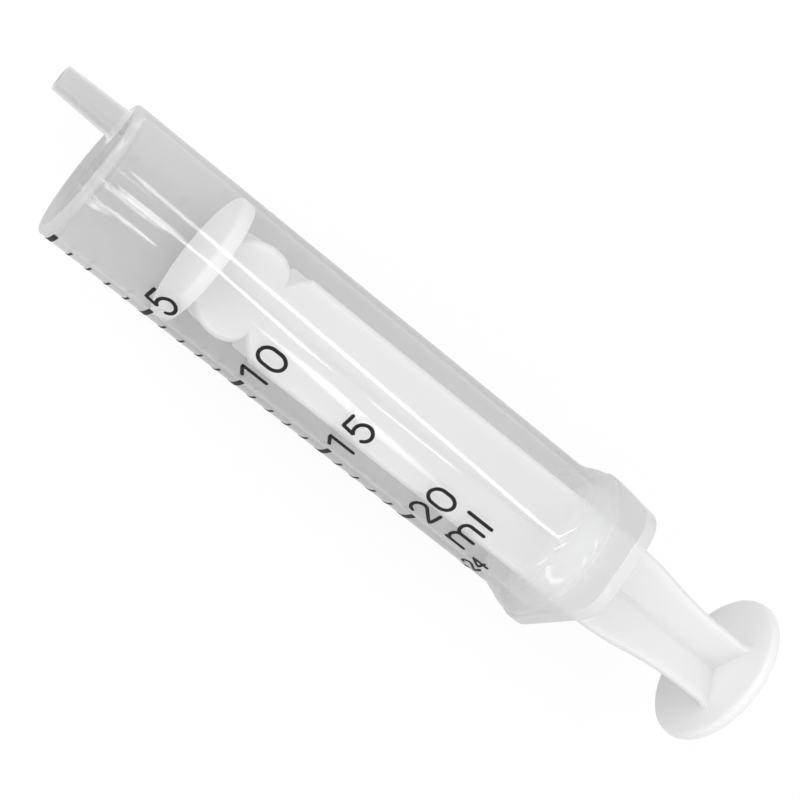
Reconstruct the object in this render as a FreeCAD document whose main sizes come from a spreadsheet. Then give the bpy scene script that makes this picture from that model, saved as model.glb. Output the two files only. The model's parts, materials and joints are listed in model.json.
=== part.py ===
import FreeCAD, Part
import math
import os
import Sketcher

# A 20 ml syringe of two moulded pieces, a barrel and a plunger, with a printed scale.
# Each piece is drawn on the syringe's own axis: X runs from the nozzle to the thumb disc and is 0
# at the zero mark, which is the inside of the barrel's end wall. Z is the long way of the finger
# flange. The nozzle is off centre towards Y, and the scale is on the opposite side.
# The pieces then get one common tilt, as the syringe lies on its flange's end and its front edge.

doc = FreeCAD.newDocument("syringe")
sheet = doc.addObject("Spreadsheet::Sheet", "Sizes")

# alias, value in millimetres or degrees, what it is
sizeRows = [
    ("bore_radius", 10.02, "radius of the bore"),
    ("wall_front", 0.75, "thickness of the barrel's wall at the end wall"),
    ("wall_rear", 1.01, "thickness of the barrel's wall where it starts to flare"),
    ("end_wall", 1.77, "thickness of the wall that carries the nozzle"),
    ("front_edge", 0.5, "rounding outside, round the end wall"),
    ("bore_corner", 0.5, "rounding inside, round the end wall"),
    ("nozzle_offset", 7.1, "from the barrel's axis to the nozzle's"),
    ("nozzle_length", 10.0, "from the end wall to the tip"),
    ("nozzle_tip", 1.965, "radius of the 6 percent cone at the tip"),
    ("nozzle_taper", 1.7184, "angle of the cone's side to its axis"),
    ("nozzle_root", 0.8, "fillet where the nozzle meets the end wall"),
    ("nozzle_edge", 0.35, "rounding of the tip"),
    ("lumen_radius", 0.9, "radius of the passage through the nozzle"),
    ("flare_start", 80.3, "where the barrel starts to flare"),
    ("flare_radius", 12.6, "radius of the flare where it meets the flange"),
    ("flange_front", 86.35, "front face of the finger flange"),
    ("flange_thickness", 2.0, "thickness of the finger flange"),
    ("flange_reach", 19.75, "from the axis to each end of the flange"),
    ("flange_half_width", 13.32, "from the axis to the flange's widest corner"),
    ("flange_taper", 15.3, "angle by which each long side closes in"),
    ("flange_corner", 5.3, "rounding of the four end corners"),
    ("flange_middle", 8.0, "rounding of the two wide corners"),
    ("flange_edge", 0.2, "rounding of the flange's rim"),
    ("bead_front", 82.2, "front of the ring that keeps the plunger in"),
    ("bead_length", 1.6, "length of that ring"),
    ("bead_height", 0.14, "how far that ring stands into the bore"),
    ("mouth_lead", 0.6, "chamfer round the bore's mouth"),
    ("head_front", 16.8, "front face of the plunger's head"),
    ("head_length", 2.1, "length of the sealing rim"),
    ("seal_clearance", 0.04, "between the sealing rim and the bore"),
    ("head_edge", 0.5, "rounding of the head's front edge"),
    ("head_back", 0.15, "rounding of the head's back edge"),
    ("rib_thickness", 1.2, "thickness of the plunger's four ribs"),
    ("rib_turn", 54.5, "how far the first rib is turned from Y"),
    ("rib_valley", 0.5, "fillet between the ribs"),
    ("neck_radius", 7.1, "reach of the ribs just behind the head"),
    ("neck_length", 0.8, "length of that neck"),
    ("lobe_rise", 3.2, "how far the round lobe of each rib stands up from its chord"),
    ("notch_place", 28.2, "bottom of the notch behind the lobe"),
    ("notch_radius", 5.9, "reach of the ribs at that notch"),
    ("rod_start", 30.2, "where the ribs regain their full reach"),
    ("rod_front", 9.5, "reach of the ribs there"),
    ("rod_rear", 9.75, "reach of the ribs at the start of the waist"),
    ("waist_start", 91.7, "start of the waist"),
    ("waist_end", 113.7, "end of the waist"),
    ("waist_radius", 7.4, "reach of the ribs at the end of the waist"),
    ("disc_front", 119.4, "front face of the thumb disc"),
    ("disc_thickness", 1.8, "thickness of the thumb disc"),
    ("disc_radius", 12.34, "radius of the thumb disc"),
    ("disc_edge", 0.6, "rounding of the disc's rim"),
    ("disc_root", 1.6, "fillet where the ribs meet the disc"),
    ("dish_radius", 10.0, "radius of the hollow for the thumb"),
    ("dish_depth", 0.4, "depth of that hollow"),
    ("dish_slope", 1.6, "how far in its sloping side runs"),
    ("ink_thickness", 0.06, "thickness of the printed marks"),
    ("mark_end", 191.0, "angle round X, from Y, at which all marks end"),
    ("long_mark", 29.0, "angle that a long mark covers"),
    ("short_mark", 21.0, "angle that a short mark covers"),
    ("last_span", 13.0, "angle that the last mark covers, below its own number"),
    ("bold_width", 0.8, "width of a long mark and of the last"),
    ("fine_width", 0.35, "width of a short mark"),
    ("full_scale", 20, "there is a mark at every millilitre up to this one"),
    ("scale_step", 5, "every so many marks is a long one"),
    ("last_mark", 24, "the mark that stands alone at the end"),
]

for row, (alias, value, note) in enumerate(sizeRows, start=1):
    sheet.set("A%d" % row, alias)
    sheet.set("B%d" % row, str(value))
    sheet.set("C%d" % row, note)
    sheet.setAlias("B%d" % row, alias)
doc.recompute()


def size(expression):
    """Value of an expression on the sheet, as a plain number."""
    result = sheet.evalExpression(expression)
    return float(getattr(result, "Value", result))


# sizes that follow from others
flangeRear = "(Sizes.flange_front + Sizes.flange_thickness)"
flangeEnd = "(Sizes.flange_half_width - Sizes.flange_reach * tan(Sizes.flange_taper))"
barrelFront = "(Sizes.bore_radius + Sizes.wall_front)"
barrelRear = "(Sizes.bore_radius + Sizes.wall_rear)"
nozzleRoot = "(Sizes.nozzle_tip + Sizes.nozzle_length * tan(Sizes.nozzle_taper))"
nozzleTip = "(Sizes.end_wall + Sizes.nozzle_length)"
headRear = "(Sizes.head_front + Sizes.head_length)"
sealRadius = "(Sizes.bore_radius - Sizes.seal_clearance)"
discRear = "(Sizes.disc_front + Sizes.disc_thickness)"
millilitre = "(1000 / (pi * Sizes.bore_radius ^ 2))"

# The table touches two round edges: the end wall's, and the rim of the flange's lower end.
edgeRun = "(Sizes.flange_front + Sizes.flange_edge + Sizes.end_wall - Sizes.front_edge)"
edgeDrop = "(Sizes.flange_reach - Sizes.flange_edge - %s + Sizes.front_edge)" % barrelFront
edgeSpan = "sqrt(%s ^ 2 + %s ^ 2)" % (edgeRun, edgeDrop)
tilt = "(atan(%s / %s) + asin((Sizes.flange_edge - Sizes.front_edge) / %s))" % (edgeDrop, edgeRun, edgeSpan)


def originFeature(body, role):
    return next(feature for feature in body.Origin.OriginFeatures if feature.Role == role)


def newBody(name):
    body = doc.addObject("PartDesign::Body", name)
    body.Label = name
    return body


def newSketch(body, name, role, offset=None):
    """Sketch on one of the body's own planes, or at an offset in front of it."""
    sketch = body.newObject("Sketcher::SketchObject", name)
    sketch.AttachmentSupport = [(originFeature(body, role), "")]
    sketch.MapMode = "FlatFace"
    if offset is not None:
        sketch.setExpression("AttachmentOffset.Base.z", offset)
    return sketch


def bind(sketch, constraint, expression):
    """Add a dimension and tie it to the sheet."""
    index = sketch.addConstraint(constraint)
    sketch.setExpression("Constraints[%d]" % index, expression)


def addArc(sketch, start, end, radius, bulge):
    """Arc from start to end; bulge is 1 where it bows to the left of that way, -1 to the right."""
    chord = end - start
    left = FreeCAD.Vector(-chord.y, chord.x, 0).normalize()
    rise = math.sqrt(max(radius ** 2 - (chord.Length / 2) ** 2, 0))
    centre = (start + end) * 0.5 - left * (bulge * rise)
    first = math.atan2(start.y - centre.y, start.x - centre.x)
    second = math.atan2(end.y - centre.y, end.x - centre.x)
    circle = Part.Circle(centre, FreeCAD.Vector(0, 0, 1), radius)
    if bulge > 0:
        return (sketch.addGeometry(Part.ArcOfCircle(circle, second, first), False), 2, 1)
    return (sketch.addGeometry(Part.ArcOfCircle(circle, first, second), False), 1, 2)


def addOgee(sketch, start, end):
    """Two equal arcs that leave start and reach end along the first axis."""
    middle = (start + end) * 0.5
    run = middle.x - start.x
    rise = middle.y - start.y
    radius = run / math.sin(2 * math.atan2(abs(rise), run))
    bulge = 1 if rise < 0 else -1
    near = addArc(sketch, start, middle, radius, bulge)
    far = addArc(sketch, middle, end, radius, -bulge)
    sketch.addConstraint(Sketcher.Constraint("Tangent", near[0], near[2], far[0], far[1]))
    return [near, far]


def outline(sketch, corners, curves=None):
    """Closed outline through corners, each a pair of expressions on the sheet.

    curves names the stretches that aren't straight. {2: ("arc", radius, bulge)} is an arc from
    corner 2 to the next, and {2: ("ogee",)} is two equal arcs, tangent to their neighbours.
    """
    curves = curves or {}
    points = [FreeCAD.Vector(size(x), size(y), 0) for x, y in corners]
    count = len(points)
    pieces = []
    for index, start in enumerate(points):
        end = points[(index + 1) % count]
        curve = curves.get(index)
        if curve is None:
            line = sketch.addGeometry(Part.LineSegment(start, end), False)
            pieces.append([(line, 1, 2)])
        elif curve[0] == "arc":
            pieces.append([addArc(sketch, start, end, size(curve[1]), curve[2])])
        else:
            pieces.append(addOgee(sketch, start, end))
    for index in range(count):
        last = pieces[index - 1][-1]
        first = pieces[index][0]
        smooth = len(pieces[index - 1]) == 2 or len(pieces[index]) == 2
        kind = "Tangent" if smooth else "Coincident"
        sketch.addConstraint(Sketcher.Constraint(kind, last[0], last[2], first[0], first[1]))
        for kind, axis, expression in zip(("DistanceX", "DistanceY"), (-2, -1), corners[index]):
            if expression == "0":
                sketch.addConstraint(Sketcher.Constraint("PointOnObject", first[0], first[1], axis))
            else:
                place = Sketcher.Constraint(kind, -1, 1, first[0], first[1], size(expression))
                bind(sketch, place, expression)
    for index, curve in curves.items():
        arc = pieces[index][0][0]
        if curve[0] == "arc":
            bind(sketch, Sketcher.Constraint("Radius", arc, size(curve[1])), curve[1])
        else:
            sketch.addConstraint(Sketcher.Constraint("Equal", arc, pieces[index][1][0]))


def circleOnNozzle(sketch, radius):
    """Circle round the nozzle's axis."""
    offset = size("Sizes.nozzle_offset")
    circle = Part.Circle(FreeCAD.Vector(offset, 0, 0), FreeCAD.Vector(0, 0, 1), size(radius))
    ring = sketch.addGeometry(circle, False)
    sketch.addConstraint(Sketcher.Constraint("PointOnObject", ring, 3, -1))
    bind(sketch, Sketcher.Constraint("DistanceX", -1, 1, ring, 3, offset), "Sizes.nozzle_offset")
    bind(sketch, Sketcher.Constraint("Radius", ring, size(radius)), radius)


def revolve(body, name, sketch, kind="Revolution"):
    feature = body.newObject("PartDesign::" + kind, name)
    feature.Profile = sketch
    feature.ReferenceAxis = (originFeature(body, "X_Axis"), [""])
    feature.Angle = 360
    sketch.Visibility = False
    return feature


def fillet(body, name, radius, test):
    """Round those edges of the body's last feature that the test picks."""
    doc.recompute()
    base = body.Tip
    picked = ["Edge%d" % number for number, edge in enumerate(base.Shape.Edges, start=1) if test(edge)]
    feature = body.newObject("PartDesign::Fillet", name)
    feature.Base = (base, picked)
    feature.setExpression("Radius", radius)
    return feature


def ringAt(place, radius, offset=0.0):
    """Test for a whole circle round the axis, or round a line at an offset towards Y."""
    centre = FreeCAD.Vector(place, offset, 0)

    def test(edge):
        curve = edge.Curve
        if not isinstance(curve, Part.Circle) or not edge.isClosed():
            return False
        return (curve.Center - centre).Length < 0.02 and abs(curve.Radius - radius) < 0.02

    return test


def barrel():
    """Tube, end wall, off-centre nozzle, flare and finger flange, moulded as one."""
    body = newBody("barrel")

    # outside of the tube and the flare, up to the back of the flange
    shell = newSketch(body, "barrel_outside", "XY_Plane")
    outline(shell, [
        ("-Sizes.end_wall", "0"),
        ("-Sizes.end_wall", barrelFront),
        ("Sizes.flare_start", barrelRear),
        ("Sizes.flange_front", "Sizes.flare_radius"),
        (flangeRear, "Sizes.flare_radius"),
        (flangeRear, "0"),
    ], {2: ("ogee",)})
    revolve(body, "tube", shell)

    # long hexagon that the fingers hold
    reach = "Sizes.flange_reach"
    half = "Sizes.flange_half_width"
    plate = newSketch(body, "flange_outline", "YZ_Plane", "Sizes.flange_front")
    outline(plate, [
        (half, "0"),
        (flangeEnd, reach),
        ("-" + flangeEnd, reach),
        ("-" + half, "0"),
        ("-" + flangeEnd, "-" + reach),
        (flangeEnd, "-" + reach),
    ])
    flange = body.newObject("PartDesign::Pad", "flange")
    flange.Profile = plate
    flange.setExpression("Length", "Sizes.flange_thickness")
    plate.Visibility = False

    def uprightAt(width):
        def test(edge):
            box = edge.BoundBox
            upright = box.XLength > 0.1 and box.YLength < 1e-4 and box.ZLength < 1e-4
            return upright and abs(abs(box.Center.y) - width) < 1e-3
        return test

    def rimEdge(edge):
        box = edge.BoundBox
        reached = max(abs(box.YMin), abs(box.YMax), abs(box.ZMin), abs(box.ZMax))
        flat = box.XLength < 1e-4 and box.XMin > size("Sizes.flange_front") - 1e-3
        return flat and reached > size("Sizes.flare_radius") + 0.05

    fillet(body, "end_corners", "Sizes.flange_corner", uprightAt(size(flangeEnd)))
    fillet(body, "wide_corners", "Sizes.flange_middle", uprightAt(size(half)))
    fillet(body, "flange_rim", "Sizes.flange_edge", rimEdge)
    fillet(body, "front_rim", "Sizes.front_edge", ringAt(-size("Sizes.end_wall"), size(barrelFront)))

    # slip nozzle, a 6 percent cone
    root = newSketch(body, "nozzle_outline", "YZ_Plane", "-Sizes.end_wall")
    circleOnNozzle(root, nozzleRoot)
    nozzle = body.newObject("PartDesign::Pad", "nozzle")
    nozzle.Profile = root
    nozzle.Reversed = True
    nozzle.setExpression("Length", "Sizes.nozzle_length")
    nozzle.setExpression("TaperAngle", "-Sizes.nozzle_taper")
    root.Visibility = False
    offset = size("Sizes.nozzle_offset")
    atRoot = ringAt(-size("Sizes.end_wall"), size(nozzleRoot), offset)
    atTip = ringAt(-size(nozzleTip), size("Sizes.nozzle_tip"), offset)
    fillet(body, "nozzle_fillet", "Sizes.nozzle_root", atRoot)
    fillet(body, "nozzle_rounding", "Sizes.nozzle_edge", atTip)

    # bore, with the ring that keeps the plunger in and a chamfered mouth
    bore = "Sizes.bore_radius"
    height = "Sizes.bead_height"
    beadRear = "(Sizes.bead_front + Sizes.bead_length)"
    mouth = "(Sizes.bore_radius + Sizes.mouth_lead)"
    behind = "(%s + 1)" % flangeRear
    inside = newSketch(body, "barrel_inside", "XY_Plane")
    outline(inside, [
        ("0", "0"),
        ("0", "(Sizes.bore_radius - Sizes.bore_corner)"),
        ("Sizes.bore_corner", bore),
        ("Sizes.bead_front", bore),
        ("(Sizes.bead_front + %s)" % height, "(Sizes.bore_radius - %s)" % height),
        ("(%s - %s)" % (beadRear, height), "(Sizes.bore_radius - %s)" % height),
        (beadRear, bore),
        ("(%s - Sizes.mouth_lead)" % flangeRear, bore),
        (flangeRear, mouth),
        (behind, mouth),
        (behind, "0"),
    ], {1: ("arc", "Sizes.bore_corner", 1)})
    revolve(body, "bore", inside, "Groove")

    # passage through the nozzle
    passage = newSketch(body, "lumen_outline", "YZ_Plane", "-(%s + 1)" % nozzleTip)
    circleOnNozzle(passage, "Sizes.lumen_radius")
    lumen = body.newObject("PartDesign::Pocket", "lumen")
    lumen.Profile = passage
    lumen.Reversed = True
    lumen.setExpression("Length", "%s + 2" % nozzleTip)
    passage.Visibility = False
    return body


def plunger():
    """Sealing head, four ribs with a lobe, a notch and a waist, and thumb disc, moulded as one."""
    body = newBody("plunger")

    head = newSketch(body, "head_outline", "XY_Plane")
    outline(head, [
        ("Sizes.head_front", "0"),
        ("Sizes.head_front", sealRadius),
        (headRear, sealRadius),
        (headRear, "0"),
    ])
    revolve(body, "head", head)
    seal = size(sealRadius)
    fillet(body, "head_front_edge", "Sizes.head_edge", ringAt(size("Sizes.head_front"), seal))
    fillet(body, "head_back_edge", "Sizes.head_back", ringAt(size(headRear), seal))

    # one rib, from inside the head to inside the disc, then four of them round the axis
    waist = "Sizes.waist_radius"
    inHead = "(%s - Sizes.head_length / 4)" % headRear
    neckEnd = "(%s + Sizes.neck_length)" % headRear
    inDisc = "(Sizes.disc_front + Sizes.disc_thickness / 4)"
    flared = "(Sizes.waist_radius + Sizes.disc_root)"
    chord = "((Sizes.notch_place - %s) ^ 2 + (Sizes.neck_radius - Sizes.notch_radius) ^ 2)" % neckEnd
    lobeRadius = "((%s / 4 + Sizes.lobe_rise ^ 2) / (2 * Sizes.lobe_rise))" % chord
    rib = newSketch(body, "rib_outline", "XY_Plane")
    rib.AttachmentOffset = FreeCAD.Placement(FreeCAD.Vector(), FreeCAD.Rotation(FreeCAD.Vector(1, 0, 0), 1))
    rib.setExpression("AttachmentOffset.Rotation.Angle", "Sizes.rib_turn")
    outline(rib, [
        (inHead, "0"),
        (inHead, "Sizes.neck_radius"),
        (neckEnd, "Sizes.neck_radius"),
        ("Sizes.notch_place", "Sizes.notch_radius"),
        ("Sizes.rod_start", "Sizes.rod_front"),
        ("Sizes.waist_start", "Sizes.rod_rear"),
        ("Sizes.waist_end", waist),
        ("(Sizes.disc_front - Sizes.disc_root)", waist),
        ("Sizes.disc_front", flared),
        (inDisc, flared),
        (inDisc, "0"),
    ], {2: ("arc", lobeRadius, 1), 5: ("ogee",), 7: ("arc", "Sizes.disc_root", -1)})
    web = body.newObject("PartDesign::Pad", "rib")
    web.Profile = rib
    web.setExpression("Length", "Sizes.rib_thickness")
    web.Midplane = True
    rib.Visibility = False
    doc.recompute()
    ribs = body.newObject("PartDesign::PolarPattern", "ribs")
    ribs.Originals = [web]
    ribs.Axis = (originFeature(body, "X_Axis"), [""])
    ribs.Angle = 360
    ribs.Occurrences = 4
    body.Tip = ribs

    def valley(edge):
        box = edge.BoundBox
        along = isinstance(edge.Curve, Part.Line) and box.YLength < 1e-4 and box.ZLength < 1e-4
        return along and math.hypot(box.Center.y, box.Center.z) < size("Sizes.rib_thickness")

    fillet(body, "rib_valleys", "Sizes.rib_valley", valley)

    disc = newSketch(body, "disc_outline", "XY_Plane")
    outline(disc, [
        ("Sizes.disc_front", "0"),
        ("Sizes.disc_front", "Sizes.disc_radius"),
        (discRear, "Sizes.disc_radius"),
        (discRear, "0"),
    ])
    revolve(body, "disc", disc)
    rim = size("Sizes.disc_radius")
    fillet(body, "disc_front_edge", "Sizes.disc_edge", ringAt(size("Sizes.disc_front"), rim))
    fillet(body, "disc_back_edge", "Sizes.disc_edge", ringAt(size(discRear), rim))

    # shallow hollow for the thumb
    floor = "(%s - Sizes.dish_depth)" % discRear
    hollow = newSketch(body, "dish_outline", "XY_Plane")
    outline(hollow, [
        (floor, "0"),
        (floor, "(Sizes.dish_radius - Sizes.dish_slope)"),
        (discRear, "Sizes.dish_radius"),
        ("(%s + 1)" % discRear, "Sizes.dish_radius"),
        ("(%s + 1)" % discRear, "0"),
    ])
    revolve(body, "dish", hollow, "Groove")
    return body


def scaleMarks():
    """Printed marks: thin pieces of a film that follows the barrel's draft."""
    def cone(name, extra):
        solid = doc.addObject("Part::Cone", name)
        solid.setExpression("Radius1", "%s + %s" % (barrelFront, extra))
        solid.setExpression("Radius2", "%s + %s" % (barrelRear, extra))
        solid.setExpression("Height", "Sizes.flare_start + Sizes.end_wall")
        solid.Placement.Rotation = FreeCAD.Rotation(FreeCAD.Vector(0, 1, 0), 90)
        solid.setExpression("Placement.Base.x", "-Sizes.end_wall")
        return solid

    film = doc.addObject("Part::Cut", "ink_film")
    film.Base = cone("film_outside", "Sizes.ink_thickness")
    film.Tool = cone("film_inside", "0")

    # sectors across the film: each lies along X, and its angle starts at Y
    numbers = list(range(int(size("Sizes.full_scale")) + 1)) + [int(size("Sizes.last_mark"))]
    long = {"name": "long_marks", "angle": "Sizes.long_mark", "width": "Sizes.bold_width", "sectors": []}
    short = {"name": "short_marks", "angle": "Sizes.short_mark", "width": "Sizes.fine_width", "sectors": []}
    last = {"name": "end_mark", "angle": "Sizes.last_span", "width": "Sizes.bold_width", "sectors": []}
    for number in numbers:
        group = long if number % int(size("Sizes.scale_step")) == 0 else short
        if number == numbers[-1]:
            group = last
        sector = doc.addObject("Part::Cylinder", "mark_%02d" % number)
        sector.Placement.Rotation = FreeCAD.Rotation(FreeCAD.Vector(1, 1, 1), 120)
        sector.setExpression("Radius", "%s + 1" % barrelRear)
        sector.setExpression("Height", group["width"])
        sector.setExpression("Angle", group["angle"])
        sector.setExpression("Placement.Base.x", "%d * %s - %s / 2" % (number, millilitre, group["width"]))
        group["sectors"].append(sector)

    bundles = []
    for group in (long, short, last):
        bundle = doc.addObject("Part::Compound", group["name"])
        bundle.Links = group["sectors"]
        bundle.Placement.Rotation = FreeCAD.Rotation(FreeCAD.Vector(1, 0, 0), 1)
        bundle.setExpression("Placement.Rotation.Angle", "Sizes.mark_end - %s" % group["angle"])
        bundles.append(bundle)
    sectors = doc.addObject("Part::Compound", "mark_sectors")
    sectors.Links = bundles

    marks = doc.addObject("Part::Common", "scale_marks")
    marks.Base = film
    marks.Tool = sectors
    marks.Label = "scale_marks"
    return marks


def layDown(piece):
    """Tilt the piece nose down onto the table, and centre the whole syringe over the origin."""
    tipRadius = "(Sizes.nozzle_tip - Sizes.nozzle_edge)"
    rimRadius = "(Sizes.disc_radius - Sizes.disc_edge)"
    nose = "(%s - Sizes.nozzle_edge) * cos(%s) + %s * sin(%s) + Sizes.nozzle_edge" % (
        nozzleTip, tilt, tipRadius, tilt)
    tail = "(%s - Sizes.disc_edge) * cos(%s) + %s * sin(%s) + Sizes.disc_edge" % (
        discRear, tilt, rimRadius, tilt)
    edge = "Sizes.front_edge"
    lift = "%s + (Sizes.end_wall - %s) * sin(%s) + (%s - %s) * cos(%s)" % (
        edge, edge, tilt, barrelFront, edge, tilt)
    piece.Placement = FreeCAD.Placement(FreeCAD.Vector(), FreeCAD.Rotation(FreeCAD.Vector(0, -1, 0), 1))
    piece.setExpression("Placement.Rotation.Angle", tilt)
    piece.setExpression("Placement.Base.x", "(%s - (%s)) / 2" % (nose, tail))
    piece.setExpression("Placement.Base.z", lift)


pieces = [barrel(), plunger(), scaleMarks()]
for piece in pieces:
    layDown(piece)
doc.recompute()

for item in doc.Objects:
    if "Invalid" in item.State or "Error" in item.State:
        raise RuntimeError("%s did not recompute: %s" % (item.Name, item.State))
for piece in pieces:
    if piece.Shape.isNull() or not piece.Shape.isValid():
        raise RuntimeError("%s has no valid shape" % piece.Label)

os.makedirs("parts", exist_ok=True)
for piece in pieces:
    piece.Shape.exportStep("parts/%s.step" % piece.Label)
    print("%-12s solids %d, volume %.1f" % (piece.Label, len(piece.Shape.Solids), piece.Shape.Volume))
print("tilt %.3f degrees, one millilitre is %.3f mm" % (size(tilt), size(millilitre)))
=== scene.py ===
import json
import math

import bpy
import numpy as np
from mathutils import Matrix, Vector


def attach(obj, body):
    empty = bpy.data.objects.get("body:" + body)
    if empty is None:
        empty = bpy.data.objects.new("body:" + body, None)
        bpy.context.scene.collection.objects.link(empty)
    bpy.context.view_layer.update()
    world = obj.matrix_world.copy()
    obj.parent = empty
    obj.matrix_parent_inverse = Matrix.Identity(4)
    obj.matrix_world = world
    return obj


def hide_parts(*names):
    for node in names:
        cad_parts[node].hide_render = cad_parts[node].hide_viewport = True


# A 20 ml syringe lying on a pale table. The moulded pieces are smooth skins worked out from the
# same sizes as the solids that they replace, and the printed numbers are wrapped on the barrel.
# Lengths are in millimetres along the syringe's own axis until a mesh is made.

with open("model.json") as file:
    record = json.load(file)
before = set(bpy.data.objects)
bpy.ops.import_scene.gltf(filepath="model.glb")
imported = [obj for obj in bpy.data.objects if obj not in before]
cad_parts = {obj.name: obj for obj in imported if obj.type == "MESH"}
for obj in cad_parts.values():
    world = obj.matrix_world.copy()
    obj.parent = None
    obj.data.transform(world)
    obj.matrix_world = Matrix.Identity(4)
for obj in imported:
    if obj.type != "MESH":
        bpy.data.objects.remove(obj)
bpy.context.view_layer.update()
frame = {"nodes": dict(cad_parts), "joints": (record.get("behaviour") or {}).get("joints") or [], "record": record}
print("frame loaded:", sorted(frame["nodes"]))


# shader helpers

class Wire:
    # a socket, or a number, that can be added, subtracted and multiplied in plain expressions
    def __init__(self, tree, value):
        self.tree = tree
        self.value = value

    def maths(self, operation, *others):
        node = self.tree.nodes.new("ShaderNodeMath")
        node.operation = operation
        for socket, value in zip(node.inputs, (self, *others)):
            connect(self.tree, socket, value)
        return Wire(self.tree, node.outputs[0])

    def __add__(self, other):
        return self.maths("ADD", other)

    def __sub__(self, other):
        return self.maths("SUBTRACT", other)

    def __mul__(self, other):
        return self.maths("MULTIPLY", other)

    def __rsub__(self, other):
        return Wire(self.tree, other).maths("SUBTRACT", self)

    __radd__ = __add__
    __rmul__ = __mul__


def connect(tree, socket, value):
    value = value.value if isinstance(value, Wire) else value
    if isinstance(value, bpy.types.NodeSocket):
        tree.links.new(value, socket)
    else:
        socket.default_value = value


class Finish:
    # the nodes of one material, or of the world
    def __init__(self, owner, output="ShaderNodeOutputMaterial"):
        self.owner = owner
        self.owner.use_nodes = True
        self.tree = self.owner.node_tree
        self.tree.nodes.clear()
        self.output = self.tree.nodes.new(output)

    def node(self, kind, settings=None, out=0, inOrder=(), **sockets):
        # settings are set first; inOrder fills the first sockets, and a named socket has _ for a space
        node = self.tree.nodes.new(kind)
        for name, value in (settings or {}).items():
            setattr(node, name, value)
        for socket, value in zip(node.inputs, inOrder):
            connect(self.tree, socket, value)
        for name, value in sockets.items():
            connect(self.tree, node.inputs[name.replace("_", " ")], value)
        return Wire(self.tree, node.outputs[out])

    def surface(self, shader):
        connect(self.tree, self.output.inputs["Surface"], shader)
        return self.owner

    def mixed(self, share, first, second):
        return self.node("ShaderNodeMixShader", inOrder=(share, first, second))

    def blended(self, share, first, second):
        # colours go from first to second
        return self.node("ShaderNodeMix", {"data_type": "RGBA"}, out=2, Factor=share, A=first, B=second)

    def speckle(self, scale, detail=2.0):
        place = self.node("ShaderNodeTexCoord", out="Object")
        return self.node("ShaderNodeTexNoise", Vector=place, Scale=scale, Detail=detail)

    def rayIs(self, kind):
        return self.node("ShaderNodeLightPath", out=kind)


# where the syringe lies

slide = next(joint for joint in frame["joints"] if joint["name"] == "plunger_slide")
nozzleMount = next(mount for mount in frame["record"]["mounts"] if mount["name"] == "nozzle")
nozzleReach = 11.77  # from the zero mark to the nozzle's tip
nozzleAside = 7.1  # from the barrel's axis to the nozzle's

alongAxis = np.array(slide["axis"], dtype=float)
acrossAxis = np.array([0.0, 1.0, 0.0])
upAxis = np.cross(alongAxis, acrossAxis)
zeroMark = np.array(nozzleMount["pos_m"]) + (alongAxis * nozzleReach - acrossAxis * nozzleAside) / 1000


def laidDown(points):
    # from the syringe's own millimetres to the frame's metres
    return points @ np.array([alongAxis, acrossAxis, upAxis]) / 1000 + zeroMark


def meshPiece(name, points, faces, body, slotName, material, *nodes):
    # points in the syringe's own millimetres; edges sharper than 35 degrees stay crisp
    mesh = bpy.data.meshes.new(name)
    mesh.from_pydata(laidDown(points).tolist(), [], faces)
    mesh.validate()
    mesh.polygons.foreach_set("use_smooth", np.ones(len(mesh.polygons), dtype=bool))
    mesh.set_sharp_from_angle(angle=math.radians(35))
    mesh.materials.append(material)
    piece = bpy.data.objects.new(name, mesh)
    bpy.context.scene.collection.objects.link(piece)
    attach(piece, body)
    if nodes:
        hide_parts(*nodes)


def ringFaces(rings, count, closed):
    # quads between neighbouring rings of count points; closed joins the last ring to the first
    row = np.arange(rings if closed else rings - 1)[:, None]
    column = np.arange(count)[None, :]
    after = (row + 1) % rings
    beside = (column + 1) % count
    corners = [row * count + column, row * count + beside, after * count + beside, after * count + column]
    return np.stack(corners, axis=-1).reshape(-1, 4)


def quarterArc(centreX, centreR, radius, first, last, steps):
    # x and r along an arc, angles in degrees from the X axis towards the outside
    angle = np.radians(np.linspace(first, last, steps))
    return np.column_stack([centreX + radius * np.cos(angle), centreR + radius * np.sin(angle)])


# finishes

def syringePlace(finish):
    # Object coordinates turned into the syringe's own millimetres: x along the axis, then y and z
    tilt = math.atan2(alongAxis[2], alongAxis[0])
    here = finish.node("ShaderNodeTexCoord", out="Object")
    own = finish.node(
        "ShaderNodeMapping", {"vector_type": "TEXTURE"}, Vector=here, Location=tuple(zeroMark),
        Rotation=(0.0, -tilt, 0.0), Scale=(0.001, 0.001, 0.001))
    return [finish.node("ShaderNodeSeparateXYZ", out=axis, Vector=own) for axis in "XYZ"]


def rampBetween(finish, value, low, high):
    # 0 below low, 1 above high, a smooth rise between them; low may be the larger one
    smooth = {"interpolation_type": "SMOOTHSTEP"}
    return finish.node("ShaderNodeMapRange", smooth, Value=value, From_Min=low, From_Max=high)


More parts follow.
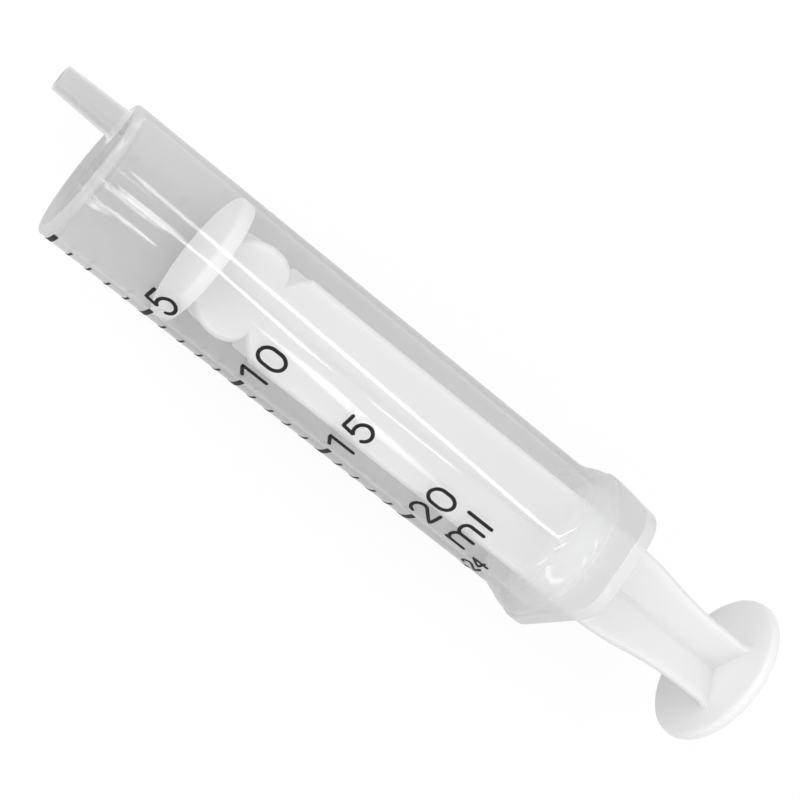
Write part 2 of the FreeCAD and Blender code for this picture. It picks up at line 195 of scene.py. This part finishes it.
def barrelPlastic():
    look = {
        "tint": (0.9, 0.903, 0.906, 1.0),
        "endTint": (0.43, 0.435, 0.44, 1.0),  # painted shade: the flat end wall, which is seen edge on, is tinted dark in place of its shade
        "thickTint": (0.88, 0.882, 0.884, 1.0),
        "nozzleTint": (0.68, 0.682, 0.684, 1.0),
        "flangeTint": (0.85, 0.852, 0.854, 1.0),
        "cover": 0.065,  # how much each surface of a thin wall hides
        "rearCover": 0.06,  # added by the rear end of the tube
        "endCover": 0.17,
        "thickCover": 0.33,  # where the plastic is thick
        "nozzleCover": 0.6,
        "flangeCover": 0.52,
        "hazeScale": 90.0,
        "hazeChange": 0.02,
        "roughness": 0.4,
        "glossRoughness": 0.05,
        "gloss": 0.045,  # share mirrored straight on
        "grazingGloss": 0.25,  # share mirrored along the surface
        "frontDulling": 0.7,  # taken off both by the end wall and the nozzle
        "nozzleGloss": 0.5,  # the same at the nozzle's outline
        "mirrorTint": (0.96, 0.96, 0.96, 1.0),
        "waviness": 0.06,
        "wavinessScale": 70.0,
        "wavinessDepth": 0.0002,
    }
    finish = Finish(bpy.data.materials.new("translucentPlastic"))
    x, y, z = syringePlace(finish)
    radius = (y * y + z * z).maths("SQRT")
    aside = y - nozzleAside
    nozzleRadius = (aside * aside + z * z).maths("SQRT")
    # thick plastic: the nozzle with its root, the corner round the end wall, and the flare with its flange
    nozzle = rampBetween(finish, x, 0.6, 0.1) * rampBetween(finish, nozzleRadius, 3.6, 2.6)
    corner = rampBetween(finish, x, -0.1, -0.8) * rampBetween(finish, radius, 9.3, 9.9)
    flare = rampBetween(finish, x, 78.0, 84.0)
    flange = rampBetween(finish, x, 85.0, 86.4)
    # painted shade: the end wall's mask, where the dark endTint stands in for its shade
    end = rampBetween(finish, x, 0.4, 0.1) * rampBetween(finish, radius, 9.9, 9.3)
    thick = nozzle.maths("MAXIMUM", corner).maths("MAXIMUM", flare)
    haze = finish.speckle(look["hazeScale"])
    tint = look["tint"]
    for share, part in ((end, "end"), (thick, "thick"), (nozzle, "nozzle"), (flange, "flange")):
        tint = finish.blended(share, tint, look[part + "Tint"])
    cover = look["cover"] + look["rearCover"] * rampBetween(finish, x, 5.0, 70.0)
    for share, part in ((end, "end"), (thick, "thick"), (nozzle, "nozzle"), (flange, "flange")):
        cover = cover + (look[part + "Cover"] - cover) * share
    cover = cover + (haze - 0.5) * look["hazeChange"]
    body = finish.node(
        "ShaderNodeBsdfPrincipled", Base_Color=tint, Roughness=look["roughness"], Alpha=cover)
    ripple = finish.speckle(look["wavinessScale"], 1.0)
    bump = finish.node(
        "ShaderNodeBump", Strength=look["waviness"], Distance=look["wavinessDepth"], Height=ripple)
    mirror = finish.node(
        "ShaderNodeBsdfPrincipled", Base_Color=look["mirrorTint"], Metallic=1.0,
        Roughness=look["glossRoughness"], Normal=bump)
    # mirrored share: from straight on to grazing by (1 - cosine of the slant) to the fifth power
    slant = finish.node("ShaderNodeLayerWeight", out="Facing", Blend=0.5)
    share = look["gloss"] + (look["grazingGloss"] - look["gloss"]) * slant.maths("POWER", 5.0)
    rim = rampBetween(finish, nozzleRadius, 1.3, 1.7) * rampBetween(finish, slant, 0.15, 0.75)
    dulled = nozzle.maths("MAXIMUM", corner).maths("MAXIMUM", end)
    share = share * (1.0 - dulled * look["frontDulling"]) + nozzle * rim * look["nozzleGloss"]
    return finish.surface(finish.mixed(share, body, mirror))


def plungerPlastic():
    look = {
        "tint": (0.855, 0.856, 0.855, 1.0),
        "shade": (0.82, 0.822, 0.821, 1.0),
        "flowScale": 45.0,  # broad change of tone and gloss from the moulding
        "roughness": 0.36,
        "roughnessChange": 0.12,
        "gloss": 0.3,
        "grain": 0.08,
        "grainScale": 1500.0,
        "grainDepth": 0.00008,
        "glow": 1.0,
        "glowDepth": 0.0045,
    }
    finish = Finish(bpy.data.materials.new("milkyPlastic"))
    grain = finish.speckle(look["grainScale"], 3.0)
    flow = finish.speckle(look["flowScale"])
    bump = finish.node("ShaderNodeBump", Strength=look["grain"], Distance=look["grainDepth"], Height=grain)
    shader = finish.node(
        "ShaderNodeBsdfPrincipled",
        Base_Color=finish.blended(flow, look["shade"], look["tint"]),
        Roughness=look["roughness"] + (flow - 0.5) * look["roughnessChange"],
        Specular_IOR_Level=look["gloss"],
        Subsurface_Weight=look["glow"],
        Subsurface_Radius=(1.0, 1.0, 1.0),
        Subsurface_Scale=look["glowDepth"],
        Normal=bump,
    )
    return finish.surface(shader)


def printedInk():
    look = {
        "tint": (0.008, 0.008, 0.01, 1.0),
        "worn": (0.03, 0.03, 0.033, 1.0),
        "patchScale": 1400.0,
        "roughness": 0.5,
        "roughnessChange": 0.2,
        "gloss": 0.15,
    }
    finish = Finish(bpy.data.materials.new("ink"))
    patches = finish.speckle(look["patchScale"], 3.0)
    shader = finish.node(
        "ShaderNodeBsdfPrincipled",
        Base_Color=finish.blended(patches, look["tint"], look["worn"]),
        Roughness=look["roughness"] + patches * look["roughnessChange"],
        Specular_IOR_Level=look["gloss"],
    )
    return finish.surface(shader)


clearPlastic = barrelPlastic()
whitePlastic = plungerPlastic()
ink = printedInk()
print("finishes made")


# barrel

barrelSizes = {
    "bore": 10.02,
    "frontRadius": 10.77,
    "rearRadius": 11.03,
    "endWall": 1.77,
    "frontEdge": 0.5,
    "flareStart": 80.3,
    "flareRadius": 12.6,
    "flangeFront": 86.35,
    "flangeRear": 88.35,
    "flangeReach": 19.75,
    "flangeHalfWidth": 13.32,
    "flangeTaper": 15.3,
    "flangeCorner": 5.3,
    "flangeMiddle": 8.0,
    "flangeEdge": 0.2,
    "beadFront": 82.2,
    "beadLength": 1.6,
    "beadHeight": 0.14,
    "mouthLead": 0.6,
    "boreFillet": 0.5,
    "nozzleTip": 1.965,
    "nozzleRoot": 2.265,
    "nozzleFillet": 0.8,
    "nozzleEdge": 0.35,
    "lumen": 0.9,
    "around": 256,
}


def softStep(share):
    # two parabolas from 0 to 1 that meet halfway
    return np.where(share < 0.5, 2 * share ** 2, 1 - 2 * (1 - share) ** 2)


def outerRadius(x):
    # the barrel's outside: a straight draft as far as the flare, then a soft step up to the flange
    sizes = barrelSizes
    flare = sizes["flareStart"]
    draft = (np.minimum(x, flare) + sizes["endWall"]) / (flare + sizes["endWall"])
    rise = np.clip((x - flare) / (sizes["flangeFront"] - flare), 0, 1)
    tube = sizes["frontRadius"] + (sizes["rearRadius"] - sizes["frontRadius"]) * draft
    return tube + (sizes["flareRadius"] - sizes["rearRadius"]) * softStep(rise)


def flangeRadius(angle, sizes):
    # The flange's outline is a long hexagon with rounded corners. Each corner is an arc that
    # touches its two sides; the outline is read off at the wanted angles, measured from Y to Z.
    taper = math.radians(sizes["flangeTaper"])
    reach = sizes["flangeReach"]
    half = sizes["flangeHalfWidth"]
    endHalf = half - reach * math.tan(taper)
    corner = sizes["flangeCorner"]
    middle = sizes["flangeMiddle"]
    wideCentre = np.array([half - middle / math.cos(taper), 0.0])
    cut = corner * math.tan((math.pi / 2 - taper) / 2)
    endCentre = np.array([endHalf - cut, reach - corner])
    wide = np.linspace(0, taper, 12)
    end = np.linspace(taper, math.pi / 2, 24)
    quarter = np.vstack([
        wideCentre + middle * np.column_stack([np.cos(wide), np.sin(wide)]),
        endCentre + corner * np.column_stack([np.cos(end), np.sin(end)]),
        [[0.0, reach]],
    ])
    # straight stretches are made dense, so that reading by angle keeps them straight
    steps = np.linspace(0, 1, 24, endpoint=False)
    runs = quarter[:-1, None] + (quarter[1:] - quarter[:-1])[:, None] * steps[None, :, None]
    dense = np.vstack([runs.reshape(-1, 2), quarter[-1]])
    folded = np.arctan2(np.abs(np.sin(angle)), np.abs(np.cos(angle)))
    return np.interp(folded, np.arctan2(dense[:, 1], dense[:, 0]), np.hypot(dense[:, 0], dense[:, 1]))


def barrelRings(sizes):
    # rows of x, radius, how far the ring's centre is off the axis, and 1 for the flange's own outline,
    # whose radius is then counted from that outline
    face = -sizes["endWall"]
    edge = sizes["frontEdge"]
    front = sizes["frontRadius"]
    flat = 0.05  # a ring this far inside each flat face keeps its shading flat

    def ring(profile, offset=0.0, flange=0.0):
        profile = np.atleast_2d(np.asarray(profile, dtype=float))
        return np.column_stack([profile, np.full(len(profile), offset), np.full(len(profile), flange)])

    tubeX = np.linspace(face + edge, sizes["flareStart"], 24)[1:-1]
    flareX = np.linspace(sizes["flareStart"], sizes["flangeFront"], 17)
    rim = sizes["flangeEdge"]
    rimAngle = np.radians(np.linspace(0, 90, 5))
    inset = rim * (1 - np.sin(rimAngle))
    frontRim = np.column_stack([sizes["flangeFront"] + rim * (1 - np.cos(rimAngle)), -inset])
    rearRim = np.column_stack([sizes["flangeRear"] - rim * (1 - np.cos(rimAngle)), -inset])[::-1]
    bore = sizes["bore"]
    lead = sizes["mouthLead"]
    bead = sizes["beadHeight"]
    beadFront = sizes["beadFront"]
    beadRear = beadFront + sizes["beadLength"]
    plain = 4.0  # the bore's plain stretch starts and ends this far from the bead and the end wall
    boreX = np.linspace(beadFront - plain, plain, 18)
    inner = sizes["boreFillet"]
    rear = sizes["flangeRear"]
    aside = nozzleAside
    tip = -nozzleReach
    tipEdge = sizes["nozzleEdge"]
    tipRadius = sizes["nozzleTip"] - tipEdge
    fillet = sizes["nozzleFillet"]
    root = sizes["nozzleRoot"]
    return np.vstack([
        ring(quarterArc(face + edge, front - edge, edge, 180, 90, 7)),
        ring(np.column_stack([tubeX, outerRadius(tubeX)])),
        ring(np.column_stack([flareX, outerRadius(flareX)])),
        ring([[sizes["flangeFront"], sizes["flareRadius"] + flat]]),
        ring([[sizes["flangeFront"], -rim - flat]], flange=1.0),
        ring(frontRim, flange=1.0),
        ring(rearRim, flange=1.0),
        ring([[rear, -rim - flat]], flange=1.0),
        ring([[rear, bore + lead + flat], [rear, bore + lead], [rear - lead, bore]]),
        ring([[beadRear, bore], [beadRear - bead, bore - bead]]),
        ring([[beadFront + bead, bore - bead], [beadFront, bore]]),
        ring(np.column_stack([boreX, np.full(len(boreX), bore)])),
        ring(quarterArc(inner, bore - inner, inner, 90, 180, 6)),
        ring([[0.0, bore - inner - flat]]),
        ring([[0.0, sizes["lumen"] + flat], [0.0, sizes["lumen"]]], aside),
        ring([[face, sizes["lumen"]], [tip, sizes["lumen"]]], aside),
        ring([[tip, tipRadius - flat]], aside),
        ring(quarterArc(tip + tipEdge, tipRadius, tipEdge, 180, 90, 6), aside),
        ring(quarterArc(face - fillet, root + fillet, fillet, 270, 360, 7), aside),
        ring([[face, root + fillet + flat]], aside),
        ring([[face, front - edge - flat]]),
    ])


def barrelSkin():
    # One closed skin: rings of radius r(x) round the axis, which become the flange's outline at its
    # rim, go down the bore, shift to the nozzle's axis on the end wall and come back over the nozzle.
    sizes = barrelSizes
    rings = barrelRings(sizes)
    angle = np.linspace(0, 2 * math.pi, sizes["around"], endpoint=False)[None, :]
    x, radius, offset, flange = (rings[:, [column]] for column in range(4))
    reach = np.where(flange > 0.5, flangeRadius(angle, sizes) + radius, radius)
    y = offset + reach * np.cos(angle)
    z = reach * np.sin(angle)
    points = np.stack([np.broadcast_to(x, y.shape), y, z], axis=-1).reshape(-1, 3)
    faces = ringFaces(len(rings), sizes["around"], True).tolist()
    meshPiece("barrel_skin", points, faces, "barrel", "translucent_plastic", clearPlastic, "barrel")


barrelSkin()
print("barrel made")


# plunger

plungerSizes = {
    "headFront": 16.8,
    "headRear": 18.9,
    "seal": 9.98,
    "headEdge": 0.5,
    "headBack": 0.15,
    "ribHalf": 0.6,
    "ribSoftening": 0.16,
    "valley": 0.5,
    "neck": 7.1,
    "neckEnd": 19.7,
    "lobeRise": 3.2,
    "notchPlace": 28.2,
    "notch": 5.9,
    "rodStart": 30.2,
    "rodFront": 9.5,
    "rodRear": 9.75,
    "waistStart": 91.7,
    "waistEnd": 113.7,
    "waist": 7.4,
    "discFront": 119.4,
    "discRear": 121.2,
    "discRadius": 12.34,
    "discEdge": 0.6,
    "discRoot": 1.6,
    "dishRadius": 10.0,
    "dishDepth": 0.4,
    "dishSlope": 1.6,
    "ribTurn": 54.5,
}


def ribReach(sizes):
    # x and reach along a rib: neck, round lobe, notch, straight rod, waist in two parabolas, flared foot
    start = np.array([sizes["neckEnd"], sizes["neck"]])
    end = np.array([sizes["notchPlace"], sizes["notch"]])
    chord = np.linalg.norm(end - start)
    radius = (chord ** 2 / 4 + sizes["lobeRise"] ** 2) / (2 * sizes["lobeRise"])
    normal = np.array([start[1] - end[1], end[0] - start[0]]) / chord
    centre = (start + end) / 2 + normal * (sizes["lobeRise"] - radius)
    first = math.atan2(start[1] - centre[1], start[0] - centre[0])
    last = math.atan2(end[1] - centre[1], end[0] - centre[0])
    sweep = np.linspace(first, last, 28)
    lobe = centre + radius * np.column_stack([np.cos(sweep), np.sin(sweep)])
    rod = np.linspace([sizes["rodStart"], sizes["rodFront"]], [sizes["waistStart"], sizes["rodRear"]], 16)
    run = np.linspace(0, 1, 25)[1:]
    waist = np.column_stack([
        sizes["waistStart"] + (sizes["waistEnd"] - sizes["waistStart"]) * run,
        sizes["rodRear"] + (sizes["waist"] - sizes["rodRear"]) * softStep(run),
    ])
    root = sizes["discRoot"]
    foot = quarterArc(sizes["discFront"] - root, sizes["waist"] + root, root, -90, 0, 8)
    neck = [[sizes["headRear"], sizes["neck"]]]
    return np.vstack([neck, lobe, rod, waist, foot])


def crossSection(reach, sizes):
    # Half of one arm for each reach, from the middle of its tip to the valley beside it: u runs along
    # the arm and w across it. Mirrored at the valley and turned by quarters it makes the whole cross.
    # The flank's inner points lie at even angles from the axis, so that they meet round rings evenly.
    half = sizes["ribHalf"]
    soft = sizes["ribSoftening"]
    valley = sizes["valley"]
    reach = np.asarray(reach, dtype=float)[:, None]
    flank = half / np.tan(np.radians(np.linspace(8.0, 23.0, 9)))[None, :]
    flankOuter = np.array([[0.4, 0.75]])  # shares of the way in to those points
    bend = np.radians(np.linspace(270, 225, 5))[None, :]
    rounding = np.array([0.0, 0.3, 1.0]) * soft  # the tip's edge in two straight cuts
    tipU = reach - np.array([[0.0, *rounding]])
    tipW = np.array([[0.0, *(half - rounding[::-1])]])
    u = np.hstack([
        tipU,
        reach - soft - (reach - soft - flank[:, :1]) * flankOuter,
        np.repeat(flank, len(reach), axis=0),
        np.repeat(half + valley + valley * np.cos(bend), len(reach), axis=0),
    ])
    w = np.hstack([
        np.repeat(tipW, len(reach), axis=0),
        np.full((len(reach), flankOuter.shape[1] + flank.shape[1]), half),
        np.repeat(half + valley + valley * np.sin(bend), len(reach), axis=0),
    ])
    # the other side of the valley is the same half arm with u and w exchanged
    armU = np.hstack([u, w[:, -2:0:-1]])
    armW = np.hstack([w, u[:, -2:0:-1]])
    angle = np.radians(sizes["ribTurn"]) + np.arange(4) * math.pi / 2
    y = [armU * math.cos(turn) - armW * math.sin(turn) for turn in angle]
    z = [armU * math.sin(turn) + armW * math.cos(turn) for turn in angle]
    return np.stack([np.hstack(y), np.hstack(z)], axis=-1)


def plungerSkin():
    # One closed skin. Round stretches are rings of radius r(x); the rod is a cross whose arms reach
    # as far as ribReach says. Rings and crosses share their points' order, so they join face to face.
    sizes = plungerSizes
    flat = 0.05  # a ring this far inside each flat face keeps its shading flat
    pole = 0.01  # radius of the smallest ring, round the middle point that closes it
    seal = sizes["seal"]
    headFront = sizes["headFront"]
    headEdge = sizes["headEdge"]
    headRear = sizes["headRear"]
    headBack = sizes["headBack"]
    edge = sizes["discEdge"]
    rim = sizes["discRadius"] - edge
    bowl = sizes["dishRadius"]
    front = sizes["discFront"]
    rear = sizes["discRear"]
    floor = rear - sizes["dishDepth"]
    floorRadius = bowl - sizes["dishSlope"]
    head = np.vstack([
        [[headFront, pole], [headFront, seal - headEdge - flat]],
        quarterArc(headFront + headEdge, seal - headEdge, headEdge, 180, 90, 7),
        quarterArc(headRear - headBack, seal - headBack, headBack, 90, 0, 4),
        [[headRear, seal - headBack - flat]],
    ])
    disc = np.vstack([
        [[front, rim - flat]],
        quarterArc(front + edge, rim, edge, 180, 90, 8),
        quarterArc(rear - edge, rim, edge, 90, 0, 8),
        [[rear, rim - flat], [rear, bowl + flat], [rear, bowl]],
        [[floor, floorRadius], [floor, floorRadius - flat], [floor, pole]],
    ])
    ribs = ribReach(sizes)
    cross = crossSection(ribs[:, 1], sizes)
    pattern = crossSection([sizes["rodFront"]], sizes)[0]
    angle = np.arctan2(pattern[:, 1], pattern[:, 0])[None, :]
    count = angle.shape[1]

    def rounds(profile):
        y = profile[:, [1]] * np.cos(angle)
        z = profile[:, [1]] * np.sin(angle)
        x = np.broadcast_to(profile[:, [0]], y.shape)
        return np.stack([x, y, z], axis=-1)

    rodX = np.broadcast_to(ribs[:, :1, None], (*cross.shape[:2], 1))
    skin = np.vstack([rounds(head), np.concatenate([rodX, cross], axis=-1), rounds(disc)])
    points = np.vstack([skin.reshape(-1, 3), [[headFront, 0, 0], [floor, 0, 0]]])
    # the last two points close the middle of the head's face and of the hollow for the thumb
    last = (len(skin) - 1) * count
    beside = (np.arange(count) + 1) % count
    frontCap = np.column_stack([np.full(count, len(points) - 2), beside, np.arange(count)])
    rearCap = np.column_stack([np.full(count, len(points) - 1), last + np.arange(count), last + beside])
    faces = ringFaces(len(skin), count, False).tolist() + frontCap.tolist() + rearCap.tolist()
    meshPiece("plunger_skin", points, faces, "plunger", "milky_plastic", whitePlastic, "plunger")


plungerSkin()
print("plunger made")


# printed scale

frame["nodes"]["scale_marks"].data.materials.clear()
frame["nodes"]["scale_marks"].data.materials.append(ink)

printSizes = {
    "millilitre": 1000 / (math.pi * barrelSizes["bore"] ** 2),
    "height": 4.2,  # of a numeral, between the middles of its strokes
    "width": 2.7,
    "stroke": 0.56,
    "smallStroke": 0.448,
    "film": 0.06,  # height of the ink above the barrel, and of its underside
    "underside": 0.005,
    "firstAngle": {5: 145.8, 10: 145.1, 15: 146.1, 20: 149.2},  # from Y to Z, at a number's first numeral
    "nextNumeral": 20.0,  # degrees from there to its second one
    "smallHeight": 2.75,
    "smallWidth": 1.75,
    "smallPlace": 75.5,
    "smallAngle": 169.9,
    "smallNext": 11.7,
    "wordFoot": 71.95,
    "elHeight": 4.35,
    "emHeight": 3.3,
    "emWidth": 4.4,
    "emAngle": 143.0,
    "elAngle": 123.2,
}


def arc(centreU, centreV, radiusU, radiusV, first, last, steps=20):
    # centre plus each radius times the cosine or sine of an angle that runs from first to last
    angle = np.radians(np.linspace(first, last, steps))
    return np.column_stack([centreU + radiusU * np.cos(angle), centreV + radiusV * np.sin(angle)])


def line(*corners):
    # straight runs, each with points every eighth of its way, so that they wrap round the barrel
    corners = np.array(corners, dtype=float)
    steps = np.linspace(0, 1, 8, endpoint=False)
    runs = [start + (end - start) * steps[:, None] for start, end in zip(corners[:-1], corners[1:])]
    return np.vstack(runs + [corners[-1:]])


# Each glyph is a list of strokes in a box 1 wide and 1 high: u runs with the reading, v up.
glyphs = {
    "0": [np.vstack([
        arc(0.5, 0.62, 0.5, 0.38, 0, 180), line((0.0, 0.62), (0.0, 0.38)),
        arc(0.5, 0.38, 0.5, 0.38, 180, 360), line((1.0, 0.38), (1.0, 0.62)),
    ])],
    "1": [line((-0.1, 0.75), (0.5, 1.0), (0.5, 0.0))],
    "2": [np.vstack([arc(0.5, 0.7, 0.46, 0.3, 165, -28), line((0.906, 0.559), (0.02, 0.0), (1.0, 0.0))])],
    "4": [line((0.74, 0.0), (0.74, 1.0), (0.0, 0.3), (1.0, 0.3))],
    "5": [np.vstack([line((0.9, 1.0), (0.16, 1.0), (0.08, 0.52)), arc(0.47, 0.33, 0.5, 0.33, 145, -150)])],
    "m": [
        line((0.0, 0.0), (0.0, 1.0)),
        np.vstack([arc(0.25, 0.7, 0.25, 0.3, 180, 0), line((0.5, 0.7), (0.5, 0.0))]),
        np.vstack([arc(0.75, 0.7, 0.25, 0.3, 180, 0), line((1.0, 0.7), (1.0, 0.0))]),
    ],
    "l": [line((0.5, 0.0), (0.5, 1.0))],
}


def strokeStrip(path, width):
    # A flat strip of even width with round ends: the path's points moved half the width to each side
    # of it, and at the ends by a half circle.
    step = np.gradient(path, axis=0)
    step /= np.linalg.norm(step, axis=1)[:, None] + 1e-9
    side = np.column_stack([-step[:, 1], step[:, 0]]) * width / 2
    turn = np.radians(np.linspace(90, 0, 5)[1:])[:, None]
    capAhead = path[-1] + step[-1] * np.cos(turn) * width / 2
    capBehind = path[0] - step[0] * np.cos(turn[::-1]) * width / 2
    sideAhead = side[-1] * np.sin(turn)
    sideBehind = side[0] * np.sin(turn[::-1])
    middle = np.vstack([capBehind, path, capAhead])
    spread = np.vstack([sideBehind, side, sideAhead])
    return middle + spread, middle - spread


def printedGlyph(name, glyph, middleX, middleAngle, width, height, stroke):
    # The strips are wrapped on the drafted barrel: v runs against its axis, and u against the angle,
    # which is u over the outer radius at that x.
    allPoints = []
    allFaces = []
    start = 0
    for path in glyphs[glyph]:
        left, right = strokeStrip((path - 0.5) * np.array([width, height]), stroke)
        # each station is a ring of four: left and right on top, right and left beneath
        u, v = np.moveaxis(np.stack([left, right, right, left], axis=1), -1, 0)
        x = middleX - v
        angle = math.radians(middleAngle) - u / outerRadius(x)
        lift = np.array([printSizes["film"]] * 2 + [printSizes["underside"]] * 2)
        radius = outerRadius(x) + lift
        points = np.stack([x, radius * np.cos(angle), radius * np.sin(angle)], axis=-1)
        allPoints.append(points.reshape(-1, 3))
        count = len(left)
        last = start + count * 4 - 1
        allFaces += (ringFaces(count, 4, False) + start).tolist()
        allFaces += [[start, start + 1, start + 2, start + 3], [last, last - 1, last - 2, last - 3]]
        start += count * 4
    meshPiece(name, np.vstack(allPoints), allFaces, "barrel", "ink", ink)


def scaleNumbers():
    sizes = printSizes
    width, height, stroke = sizes["width"], sizes["height"], sizes["stroke"]
    for number, firstAngle in sizes["firstAngle"].items():
        for place, digit in enumerate(str(number)):
            angle = firstAngle - place * sizes["nextNumeral"]
            name = "number_%d_%d" % (number, place + 1)
            printedGlyph(name, digit, number * sizes["millilitre"], angle, width, height, stroke)
    for place, digit in enumerate("24"):
        angle = sizes["smallAngle"] - place * sizes["smallNext"]
        name = "number_24_%d" % (place + 1)
        printedGlyph(
            name, digit, sizes["smallPlace"], angle, sizes["smallWidth"], sizes["smallHeight"],
            sizes["smallStroke"])
    emPlace = sizes["wordFoot"] - sizes["emHeight"] / 2
    elPlace = sizes["wordFoot"] - sizes["elHeight"] / 2
    printedGlyph("letter_m", "m", emPlace, sizes["emAngle"], sizes["emWidth"], sizes["emHeight"], stroke)
    printedGlyph("letter_l", "l", elPlace, sizes["elAngle"], width, sizes["elHeight"], stroke)


scaleNumbers()
print("printed scale made")


# table, light and camera

stageSizes = {
    "tableHalf": 3.0,
    "tableTint": 0.55,  # the table's own pale grey, which lights the syringe and shows through its plastic
    "tableSeen": 1.0,  # the same where the camera looks straight at it
    "tableWhite": 0.91,  # share of plain white in that straight view
    "worldFill": 0.84,
    "cameraPlace": (-0.11004, -0.04047, 0.24829),
    "cameraTurn": (-7.890, -25.376, 39.389),
    "cameraLens": 81.91,
}


def table():
    half = stageSizes["tableHalf"]
    mesh = bpy.data.meshes.new("table")
    corners = [(-half, -half, 0), (half, -half, 0), (half, half, 0), (-half, half, 0)]
    mesh.from_pydata(corners, [], [(0, 1, 2, 3)])
    finish = Finish(bpy.data.materials.new("tablePaint"))
    # straight is 1 for a camera ray that has passed no plastic, and for a mirrored or bent one
    passed = finish.rayIs("Transparent Depth")
    straight = finish.rayIs("Is Camera Ray") * passed.maths("LESS_THAN", 0.5)
    for kind in ("Is Glossy Ray", "Is Transmission Ray"):
        straight = straight.maths("MAXIMUM", finish.rayIs(kind))
    own = stageSizes["tableTint"]
    tone = own + straight * (stageSizes["tableSeen"] - own)
    white = (1.0, 1.0, 1.0)
    colour = finish.node("ShaderNodeVectorMath", {"operation": "SCALE"}, Vector=white, Scale=tone)
    paint = finish.node("ShaderNodeBsdfDiffuse", Color=colour)
    plain = finish.node("ShaderNodeEmission", Color=(*white, 1.0), Strength=1.0)
    mesh.materials.append(finish.surface(finish.mixed(straight * stageSizes["tableWhite"], paint, plain)))
    top = bpy.data.objects.new("table", mesh)
    bpy.context.scene.collection.objects.link(top)


def room():
    # white where the camera, a gloss or a bent ray looks at it, a plain grey as light
    finish = Finish(bpy.data.worlds.new("room"), "ShaderNodeOutputWorld")
    seen = finish.rayIs("Is Camera Ray")
    for kind in ("Is Glossy Ray", "Is Transmission Ray"):
        seen = seen.maths("MAXIMUM", finish.rayIs(kind))
    grey = stageSizes["worldFill"]
    strength = grey + seen * (1.0 - grey)
    fill = finish.node("ShaderNodeBackground", Color=(1.0, 1.0, 1.0, 1.0), Strength=strength)
    bpy.context.scene.world = finish.surface(fill)


def areaLamp(name, place, target, along, size, radiance):
    # a rectangle that faces its target, with its long side along the given direction
    lamp = bpy.data.lights.new(name, "AREA")
    lamp.shape = "RECTANGLE"
    lamp.size, lamp.size_y = size
    lamp.energy = radiance * size[0] * size[1] * math.pi
    holder = bpy.data.objects.new(name, lamp)
    bpy.context.scene.collection.objects.link(holder)
    back = (Vector(place) - Vector(target)).normalized()
    side = Vector(along) - back * back.dot(Vector(along))
    side.normalize()
    turn = Matrix((side, back.cross(side), back)).transposed()
    holder.matrix_world = Matrix.Translation(place) @ turn.to_4x4()


def mirrored(x, angle):
    # Place on the barrel, and the direction in which it mirrors the camera's line of sight: that
    # line less twice its share along the surface's normal. The normal leans by the radius's slope.
    step = 0.01
    radius = outerRadius(x)
    slope = (outerRadius(x + step) - outerRadius(x - step)) / (2 * step)
    turn = math.radians(angle)
    place = laidDown(np.array([x, radius * math.cos(turn), radius * math.sin(turn)]))
    normal = laidDown(np.array([-slope, math.cos(turn), math.sin(turn)])) - laidDown(np.zeros(3))
    normal /= np.linalg.norm(normal)
    sight = place - np.array(stageSizes["cameraPlace"])
    sight /= np.linalg.norm(sight)
    return place, sight - 2 * sight.dot(normal) * normal


def streakLamp(name, start, end, width, radiance, distance=0.5):
    # a strip lamp whose gloss runs along the barrel from start to end, each an x and an angle
    firstPlace, firstWay = mirrored(*start)
    lastPlace, lastWay = mirrored(*end)
    first = firstPlace + firstWay * distance
    last = lastPlace + lastWay * distance
    target = (firstPlace + lastPlace) / 2
    length = float(np.linalg.norm(last - first))
    areaLamp(name, (first + last) / 2, target, last - first, (length, width), radiance)


def camera():
    lens = bpy.data.cameras.new("camera")
    lens.lens = stageSizes["cameraLens"]
    lens.sensor_width = 36.0
    lens.clip_start = 0.01
    holder = bpy.data.objects.new("camera", lens)
    bpy.context.scene.collection.objects.link(holder)
    holder.location = stageSizes["cameraPlace"]
    holder.rotation_mode = "XYZ"
    holder.rotation_euler = [math.radians(angle) for angle in stageSizes["cameraTurn"]]
    bpy.context.scene.camera = holder


# where each gloss on the barrel starts and ends (x, and the angle from Y to Z), and its lamp's
# width in metres and strength
streaks = {
    "upperStreak": ((-0.4, 82.7), (80.2, 97.0), 0.026, 5.0),
    "middleStreak": ((-1.0, 98.1), (13.5, 97.5), 0.075, 4.0),
    "middleTail": ((15.0, 98.0), (36.6, 104.3), 0.02, 5.0),
    "shortStreak": ((0.0, 112.5), (9.0, 112.2), 0.02, 4.0),
    "lowerStreak": ((33.0, 112.5), (56.0, 122.0), 0.045, 2.6),
    "flareGlint": ((83.6, 124.0), (84.6, 117.0), 0.08, 3.5),
    "thinStreak": ((46.5, 104.0), (61.8, 104.2), 0.025, 3.2),
}

table()
room()
camera()
areaLamp("softKey", (-0.54, 0.16, 0.46), (0, 0, 0.01), (0, 1, 0), (0.4, 0.4), 2.3)
for name, streak in streaks.items():
    streakLamp(name, *streak)
bpy.context.scene.view_settings.view_transform = "Standard"
print("stage made")
